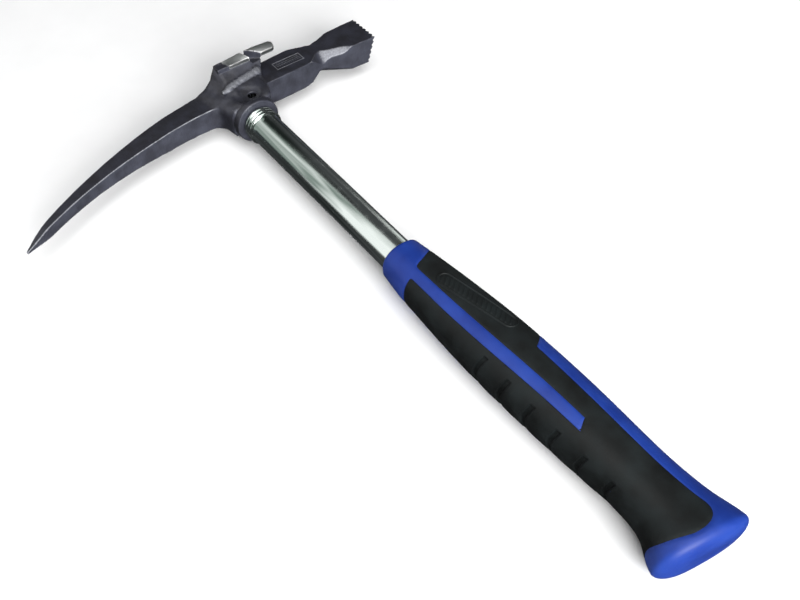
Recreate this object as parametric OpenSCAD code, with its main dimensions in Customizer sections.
// Pick hammer: forged head with a long pick, a square poll and a side nail claw,
// on a tubular steel shaft with a two-part moulded grip. It lies on its side.
// X points at the striking face, Y runs from the butt to the top of the head,
// and Z points up, out of the cheek that carries the claw.

/* [Head] */
// Shaft axis to the tip of the pick
pick_reach = 141.6; // [136:0.2:148]
// Shaft axis to the striking face
face_reach = 93; // [90:0.2:95]
// Underside of the shaft boss to the highest edge of the poll
head_top = 36.4; // [36:0.1:37]
// Radius of the round flange at the foot of the eye
boss_r = 12.7; // [12.2:0.1:13]
// Height of the poll at the start of its waist
poll_root_h = 19.6; // [19:0.1:19.8]
// Width of the poll between the shaft boss and its waist
poll_root_w = 15.6; // [15:0.1:16.4]
// Height of the striking face
face_h = 21; // [20:0.1:21.4]
// Width of the striking face
face_w = 18; // [17:0.1:19]
// Depth of the waist in the top and bottom of the poll
waist_cut = 2.3; // [1.5:0.1:3]
// Depth of the milled grooves in the striking face
groove_depth = 0.7; // [0.4:0.1:1]

/* [Claw] */
// Top of the nail claw above the middle plane
claw_top = 21.4; // [21:0.1:22]
// Length of the claw along the head
claw_len = 36.5; // [36:0.5:38]
// Width of the nail slot where it opens towards the handle
slot_open = 5.6; // [5:0.1:6]
// Width of the nail slot at its far end
slot_end = 1.2; // [1:0.1:2]

/* [Shaft] */
// Outside diameter of the shaft tube
tube_d = 18; // [17.5:0.1:18.5]
// Wall of the shaft tube
tube_wall = 1.8; // [1.5:0.1:2]
// Outside diameter of the tube inside the head
tenon_d = 16; // [15:0.1:16.5]
// Diameter of the spring pin across the head
pin_d = 5; // [4:0.5:5]

/* [Grip] */
// Underside of the shaft boss to the plane that distances down the grip start from
bare_len = 125; // [120:1:130]
// Distance down the grip of the lip where the butt starts to round over
lip_t = 186.3; // [184:0.1:188]
// Depth of the soft cover let into the hard core
cover_depth = 2.2; // [1.8:0.1:2.4]
// Half thickness of the butt, which is also the height of the middle plane
butt_half = 15.5; // [15:0.1:16]

/* [Hidden] */
$fn = 96;
eps = 0.01;

// Head outline, from the underside of the boss up.
face_mid = head_top - face_h / 2;
poll_bottom = 16.5;
poll_root_x = 14;
waist_start = 43;
waist_in = 54;
waist_out = 63;
waist_end = 73;
face_chamfer = 1.6;
face_taper = 0.4;
root_drop = 2.4;
waist_pinch = 1;
boss_top = 33.5;
boss_chamfer = 1.2;
flange_h = 4.6;
eye_r = 11.5;
pick_top_r = 265.7;
pick_top_c = [8, -233];
pick_bottom_r = 225;
pick_bottom_c = [-22.65, -208.65];
tip_y = -15;
tip_start = 13;

// Shaft and its fittings, from the underside of the boss.
tube_r = tube_d / 2;
bore_r = tube_r - tube_wall;
tenon_r = tenon_d / 2;
tenon_bore_r = tenon_r - 1.6;
tenon_top = 31;
bead_r = tube_r + 1.4;
ring_r = tube_r + 0.9;
pin_x = 3.6;
pin_y = 10.8;
pin_half = 9;
plug_len = 16;
tube_end = -(bare_len + lip_t - 7);
end_plug_len = 10;
end_flange = 2;
end_flange_r = tube_r - 0.4;

// Grip sections, evenly spaced down to the lip of the butt: half widths and half thickness.
dome = 5.2;
face_side = [11, 12.9, 14.9, 16.7, 18.2, 19.1, 19.6, 19.8, 19.6, 19.1, 18.9, 20, 23];
pick_side = [10.8, 12.6, 13.5, 14.4, 15, 15.2, 14.9, 14.3, 13.5, 12.4, 11.3, 12.9, 20.4];
half_thick = [11, 12.2, 13, 13.5, 13.9, 14.1, 14.1, 14, 13.7, 13.3, 13, 13.6, butt_half];
section_power = 2.35;
butt_slant = 0.2;
slant_start = 130;
butt_square = 0.45;
rim_round = 1.5;
rim_turn = 0.16;

// Top of the collar and edges of the soft cover, as distances down the grip, and the columns that they follow.
collar_top = 3.6;
cover_start_face = 14;
cover_start_pick = 21.5;
stripe_end = 125;
back_start = 85;
cover_corner = 174;
cover_end = 180;
fixed_angles = [0, 17, 34, 50, 66, 79, 0, 0, 138, 152, 166, 180];
half_columns = len(fixed_angles) - 1;
columns = 2 * half_columns;
back_column = 4;
stripe_column = 6;
stripe_near = 104;
stripe_far = 130;
near_lean = 12;
far_lean = 16;
lean_start = 19;

// Six finger grooves across the pick side, and a plain row after each.
finger_groove_depth = 1;
finger_groove_half = 0.8;
finger_groove_flank = 0.4;
groove_reach = 43;
first_groove = 75;
groove_pitch = 15;
row_after_groove = [back_start, 97.5, 112.5, stripe_end, 142.5, 158];
groove_rows = [for (g = [0 : len(row_after_groove) - 1])
    let (c = first_groove + g * groove_pitch, w = finger_groove_half, f = finger_groove_flank)
    each [[c - w - f, 0, 0], [c - w, 1, 0], [c + w, 1, 0], [c + w + f, 0, 0], [row_after_groove[g], 0, 0]]];

// Rows of the grip's skin: distance down the grip, groove floor or not, and the turn
// of the rounded rim (below 0) or of the domed butt (above 0) in degrees.
rows = concat(
    [for (q = [-75, -40]) [collar_top, 0, q]],
    [for (t = [collar_top, 8, cover_start_face, cover_start_pick, 30, 40, 50, 60, 68]) [t, 0, 0]],
    groove_rows,
    [for (t = [166, cover_corner, cover_end, 183, lip_t]) [t, 0, 0]],
    [for (q = [20, 40, 60, 76, 87]) [lip_t, 0, q]]);

// Moves a shape from the shaft's own axes into the part's frame.
module place() translate([shaft_x, boss_y, mid_z]) children();

// Turns a shape about Z into one about the shaft axis, +Z becoming +Y.
module along_shaft() rotate([-90, 0, 0]) children();

// Extrudes an X-Y outline through the middle plane.
module slab(half) translate([0, 0, -half]) linear_extrude(2 * half) children();

// Extrudes an X-Z outline along Y from 0 to length.
module along_y(length) translate([0, length, 0]) rotate([90, 0, 0]) linear_extrude(length) children();

// Extrudes a Y-Z outline along X from x0 to x1.
module along_x(x0, x1) translate([x0, 0, 0]) rotate([90, 0, 90]) linear_extrude(x1 - x0) children();

// ---- head ----

module poll_side() polygon([
    [0, poll_bottom], [waist_start, poll_bottom], [waist_in, poll_bottom + waist_cut],
    [waist_out, poll_bottom + waist_cut], [waist_end, face_mid - face_h / 2 + face_taper],
    [face_reach - face_chamfer, face_mid - face_h / 2],
    [face_reach, face_mid - face_h / 2 + face_chamfer], [face_reach, head_top - face_chamfer],
    [face_reach - face_chamfer, head_top], [waist_end, head_top - face_taper],
    [waist_out, poll_bottom + poll_root_h - waist_cut], [waist_in, poll_bottom + poll_root_h - waist_cut],
    [waist_start, poll_bottom + poll_root_h], [0, poll_bottom + poll_root_h - root_drop]]);

// Half of the poll seen from its top, mirrored about the middle plane.
module poll_plan() for (m = [0, 1]) mirror([0, m]) polygon([
    [0, -eps], [0, poll_root_w / 2], [waist_start, poll_root_w / 2], [waist_in, poll_root_w / 2 - waist_pinch],
    [waist_out, poll_root_w / 2 - waist_pinch], [waist_end, face_w / 2 - face_taper],
    [face_reach - face_chamfer, face_w / 2], [face_reach, face_w / 2 - face_chamfer], [face_reach, -eps]]);

// Round scoops ground across the four corners of the waist.
module waist_scoops() {
    scoop_r = 30;
    scoop_depth = 2.2;
    corner = sqrt(pow(poll_root_h / 2 - waist_cut, 2) + pow(poll_root_w / 2 - waist_pinch, 2));
    waist_x = (waist_in + waist_out) / 2;
    translate([waist_x, poll_bottom + poll_root_h / 2, 0])
        for (a = [45 : 90 : 315])
            rotate([a, 0, 0]) translate([0, 0, corner + scoop_r - scoop_depth])
                rotate([90, 0, 0]) cylinder(r = scoop_r, h = 40, center = true);
}

// Crossed V grooves milled into the striking face.
module face_grooves() {
    pitch = 3.2;
    cutter = groove_depth * sqrt(2);
    for (i = [-2.5 : 1 : 2.5]) {
        translate([face_reach, face_mid + i * pitch, 0])
            rotate([0, 0, 45]) cube([cutter, cutter, 2 * face_w], center = true);
        translate([face_reach, face_mid, i * pitch])
            rotate([0, 45, 0]) cube([cutter, 2 * face_h, cutter], center = true);
    }
}

module poll() difference() {
    intersection() {
        slab(face_w) poll_side();
        along_y(head_top + 1) poll_plan();
    }
    waist_scoops();
    face_grooves();
}

// Two arcs bound the pick, and straight flats bring it to its point.
module pick_side_outline() {
    blunt = pick_reach - tip_start;
    intersection() {
        difference() {
            translate(pick_top_c) circle(r = pick_top_r);
            translate(pick_bottom_c) circle(r = pick_bottom_r);
        }
        polygon([[-8, 0], [-8, 40], [-blunt, 20], [-blunt, -3.9],
                 [-pick_reach, tip_y + 0.6], [-pick_reach, tip_y - 0.6], [-blunt, -9.8], [-blunt, -12]]);
    }
}

module pick_plan() for (m = [0, 1]) mirror([0, m]) polygon([
    [-8, -eps], [-8, 7.6], [-16, 6.9], [-32, 6.3], [-62, 5.1], [-95, 3.7],
    [-pick_reach + tip_start, 3.2], [-pick_reach, 0.5], [-pick_reach, -eps]]);

module pick() intersection() {
    slab(10) pick_side_outline();
    translate([0, -30, 0]) along_y(70) pick_plan();
}

// Shoulder of the eye under the root of the pick, hollowed where it meets the pick.
module pick_shoulder() {
    shoulder_half = 7.8;
    slab(shoulder_half) polygon([[-8, 1.5], [-12.3, 1.5], [-15.1, 12.3], [-15.9, 14.2],
                                 [-17.6, 15.8], [-20, 16.7], [-20, 20], [-8, 20]]);
}

// Round flange and eye around the shaft, and the squarer block that joins them to the pick and poll.
module eye() {
    along_shaft() {
        cylinder(r1 = boss_r - boss_chamfer / 2, r2 = boss_r, h = boss_chamfer / 2);
        translate([0, 0, boss_chamfer / 2]) cylinder(r = boss_r, h = flange_h - boss_chamfer);
        translate([0, 0, flange_h - boss_chamfer / 2]) cylinder(r1 = boss_r, r2 = eye_r, h = boss_chamfer);
        translate([0, 0, flange_h]) cylinder(r = eye_r, h = boss_top - boss_chamfer - flange_h);
        translate([0, 0, boss_top - boss_chamfer]) cylinder(r1 = eye_r, r2 = eye_r - boss_chamfer, h = boss_chamfer);
    }
    intersection() {
        slab(10.4) polygon([[-18, 14], [-11, 8], [14, 8], [19, 14], [19, 32.5], [16, 34], [-15, 33], [-18, 31]]);
        along_x(-20, 20) polygon([[8, -9], [10, -10.4], [31, -10.4], [34, -8], [34, 8], [31, 10.4], [10, 10.4], [8, 9]]);
    }
}

// Neck and bevelled plate of the side nail claw, with its tapered slot.
module claw() {
    claw_x0 = -5;
    claw_x1 = claw_x0 + claw_len;
    end_r = 2.8;
    end_y = 31.3;
    slot_x = 14.8;
    slot_y = 31.3;
    slot_turn = 44;
    slot_half = 6;
    difference() {
        union() {
            intersection() {
                along_x(-16, 22) polygon([[16, 8], [21.3, 12.2], [28.7, 17.2], [28.7, 20.3], [34, 20.3], [34, 8]]);
                along_y(40) polygon([[-16, 8], [-13, 9.5], [-9.5, 13.5], [-8, 18], [-6, 20.4],
                                     [22, 20.4], [22, 17], [19.5, 13.5], [17, 10], [17, 8]]);
            }
            intersection() {
                along_x(claw_x0, claw_x1)
                    polygon([[28, 17.1], [28, 19.6], [30.5, claw_top - 0.4], [34, claw_top], [35, 20], [35, 17.1]]);
                slab(claw_top + 1) union() {
                    translate([claw_x0, end_y - end_r]) square([claw_len - end_r, 2 * end_r]);
                    translate([claw_x1 - end_r, end_y]) circle(r = end_r);
                }
            }
        }
        translate([slot_x, slot_y, 16.2]) rotate([0, 0, slot_turn]) linear_extrude(10)
            polygon([[-slot_open / 2, -slot_half], [slot_open / 2, -slot_half],
                     [slot_end / 2, slot_half], [-slot_end / 2, slot_half]]);
    }
}

module head() color("dimgray") place() difference() {
    union() {
        poll();
        pick();
        pick_shoulder();
        eye();
        claw();
    }
    along_shaft() translate([0, 0, -1]) cylinder(r = tenon_r, h = head_top + 5);
    translate([pin_x, pin_y, 0]) cylinder(d = pin_d, h = 4 * boss_r, center = true);
}

// ---- shaft and its fittings ----

// Half section of the tube: bore, tenon in the head, then two swaged rings under the head.
module shaft_tube() color("gainsboro") place() difference() {
    along_shaft() rotate_extrude() polygon([
        [tenon_bore_r, tenon_top], [tenon_r - 0.5, tenon_top], [tenon_r, tenon_top - 0.5], [tenon_r, -0.6],
        [ring_r, -0.6], [ring_r + 0.3, -1.2], [ring_r, -2.2], [ring_r - 0.4, -2.8], [ring_r + 0.4, -3.2],
        [bead_r, -4], [bead_r, -6.6], [bead_r - 0.5, -7.6], [tube_r, -9],
        [tube_r, tube_end], [bore_r, tube_end], [bore_r, -6], [tenon_bore_r, -3]]);
    translate([pin_x, pin_y, 0]) cylinder(d = pin_d, h = 4 * boss_r, center = true);
}

// Steel plug driven into the top of the tube to tighten it in the head.
module expander_plug() color("slategray") place() along_shaft()
    translate([0, 0, tenon_top - plug_len]) {
        cylinder(r1 = tenon_bore_r - 0.6, r2 = tenon_bore_r, h = 1);
        translate([0, 0, 1]) cylinder(r = tenon_bore_r, h = plug_len - 1);
    }

// Slotted spring pin that crosses the head and the tube.
module spring_pin() color("silver") place() translate([pin_x, pin_y, 0]) difference() {
    cylinder(d = pin_d, h = 2 * pin_half, center = true);
    cylinder(d = pin_d - 2, h = 2 * pin_half + 1, center = true);
    translate([0, 1.5, 0]) cube([0.8, 3, 2 * pin_half + 1], center = true);
}

// Moulded plug that keeps the grip material out of the tube.
module tube_end_plug() color("dimgray") place() translate([0, tube_end, 0]) along_shaft() {
    translate([0, 0, -end_flange]) cylinder(r = end_flange_r, h = end_flange);
    cylinder(r = bore_r, h = end_plug_len - 1);
    translate([0, 0, end_plug_len - 1]) cylinder(r1 = bore_r, r2 = bore_r - 0.8, h = 1);
}

// ---- grip ----

// Smooth curve through a list of evenly spaced values.
function held(v, i) = v[max(0, min(len(v) - 1, i))];
function curve(v, s) =
    let (i = min(floor(s), len(v) - 2), f = s - i,
         a = held(v, i - 1), b = v[i], c = v[i + 1], d = held(v, i + 2))
    b + 0.5 * f * (c - a + f * (2 * a - 5 * b + 4 * c - d + f * (3 * (b - c) + d - a)));
function ease(a, b, x) = let (u = max(0, min(1, (x - a) / (b - a)))) u * u * (3 - 2 * u);
function power(v, p) = sign(v) * pow(abs(v), p);

// Column angles of the upper half, from the face side round to the pick side. Two of them
// follow the edges of the cheek stripe, which lean a little as it runs down the grip.
function column_angle(c, t) =
    c == stripe_column ? stripe_near - near_lean * ease(lean_start, stripe_end, t) :
    c == stripe_column + 1 ? stripe_far - far_lean * ease(lean_start, stripe_end, t) :
    fixed_angles[c];
function angle_of(i, t) = i <= half_columns ? column_angle(i, t) : 360 - column_angle(columns - i, t);

// Is the cell below row j and beside column i part of the soft cover?
function covered(j, i) =
    let (t = (rows[j][0] + held(rows, j + 1)[0]) / 2, c = i < half_columns ? i : columns - 1 - i)
    j >= 0 && j < len(rows) - 1
    && t > (c < stripe_column ? cover_start_face : cover_start_pick)
    && t < (c == back_column ? cover_corner : cover_end)
    && !(c == stripe_column && t < stripe_end)
    && !(c < back_column && t > back_start);

// A point of the outer skin, or of the floor that the cover is let into.
function skin_point(j, i, inner) =
    let (t = rows[j][0], q = rows[j][2], s = t * (len(face_side) - 1) / lip_t, a = angle_of(i, t),
         groove = rows[j][1] == 1 && abs(a - 180) < groove_reach ? finger_groove_depth : 0,
         inset = inner ? cover_depth : groove,
         k = q > 0 ? pow(cos(q), butt_square) : 1 - rim_turn * (1 - cos(q)),
         w = curve(cos(a) > 0 ? face_side : pick_side, s) - inset,
         x = k * w * power(cos(a), 2 / section_power),
         z = k * (curve(half_thick, s) - inset) * power(sin(a), 2 / section_power),
         along = t + (q > 0 ? dome * sin(q) : rim_round * sin(q)))
    [x, -bare_len - along - butt_slant * ease(slant_start, lip_t, t) * x, z];

function flip(faces) = [for (f = faces) [f[2], f[1], f[0]]];
function quad(a, b, c, d) = [[a, b, c], [a, c, d]];

// Corners of a cell, clockwise seen from outside: this row, next row, next row and column, next column.
function cell(j, i, base) =
    let (n = columns, k = (i + 1) % n) [base + j * n + i, base + (j + 1) * n + i, base + (j + 1) * n + k, base + j * n + k];
function cell_quad(j, i, base) = let (p = cell(j, i, base)) quad(p[0], p[1], p[2], p[3]);

// Walls round the covered cells, from the outer skin down to the floor, facing away from the cover.
function cover_walls(base) = [for (j = [0 : len(rows) - 2], i = [0 : columns - 1]) if (covered(j, i))
    let (o = cell(j, i, 0), f = cell(j, i, base))
    each concat(
        covered(j, (i + 1) % columns) ? [] : quad(o[3], o[2], f[2], f[3]),
        covered(j, (i + columns - 1) % columns) ? [] : quad(o[1], o[0], f[0], f[1]),
        covered(j - 1, i) ? [] : quad(o[0], o[3], f[3], f[0]),
        covered(j + 1, i) ? [] : quad(o[2], o[1], f[1], f[2]))];

skin_points = [for (inner = [false, true], j = [0 : len(rows) - 1], i = [0 : columns - 1]) skin_point(j, i, inner)];
floor_base = len(rows) * columns;

// The bounding box is centred on X and Y and stands on Z = 0.
butt_end = min([for (p = skin_points) p[1]]);
shaft_x = (pick_reach - face_reach) / 2;
boss_y = -(butt_end + head_top) / 2;
mid_z = butt_half;

module core_form() polyhedron(skin_points, concat(
    [for (j = [0 : len(rows) - 2], i = [0 : columns - 1]) each cell_quad(j, i, covered(j, i) ? floor_base : 0)],
    flip(cover_walls(floor_base)),
    [[for (i = [0 : columns - 1]) i], [for (i = [columns - 1 : -1 : 0]) (len(rows) - 1) * columns + i]]),
    convexity = 4);

module cover_form() polyhedron(skin_points, concat(
    [for (j = [0 : len(rows) - 2], i = [0 : columns - 1]) if (covered(j, i)) each cell_quad(j, i, 0)],
    flip([for (j = [0 : len(rows) - 2], i = [0 : columns - 1]) if (covered(j, i)) each cell_quad(j, i, floor_base)]),
    cover_walls(floor_base)), convexity = 4);

module grip_core() color("royalblue") place() difference() {
    core_form();
    translate([0, tube_end, 0]) along_shaft() cylinder(r = tube_r, h = 2 * lip_t);
    translate([0, tube_end - end_flange, 0]) along_shaft() cylinder(r = end_flange_r, h = end_flange + 1);
}

module grip_cover() color("darkslategray") place() cover_form();

head();
shaft_tube();
expander_plug();
spring_pin();
grip_core();
grip_cover();
tube_end_plug();
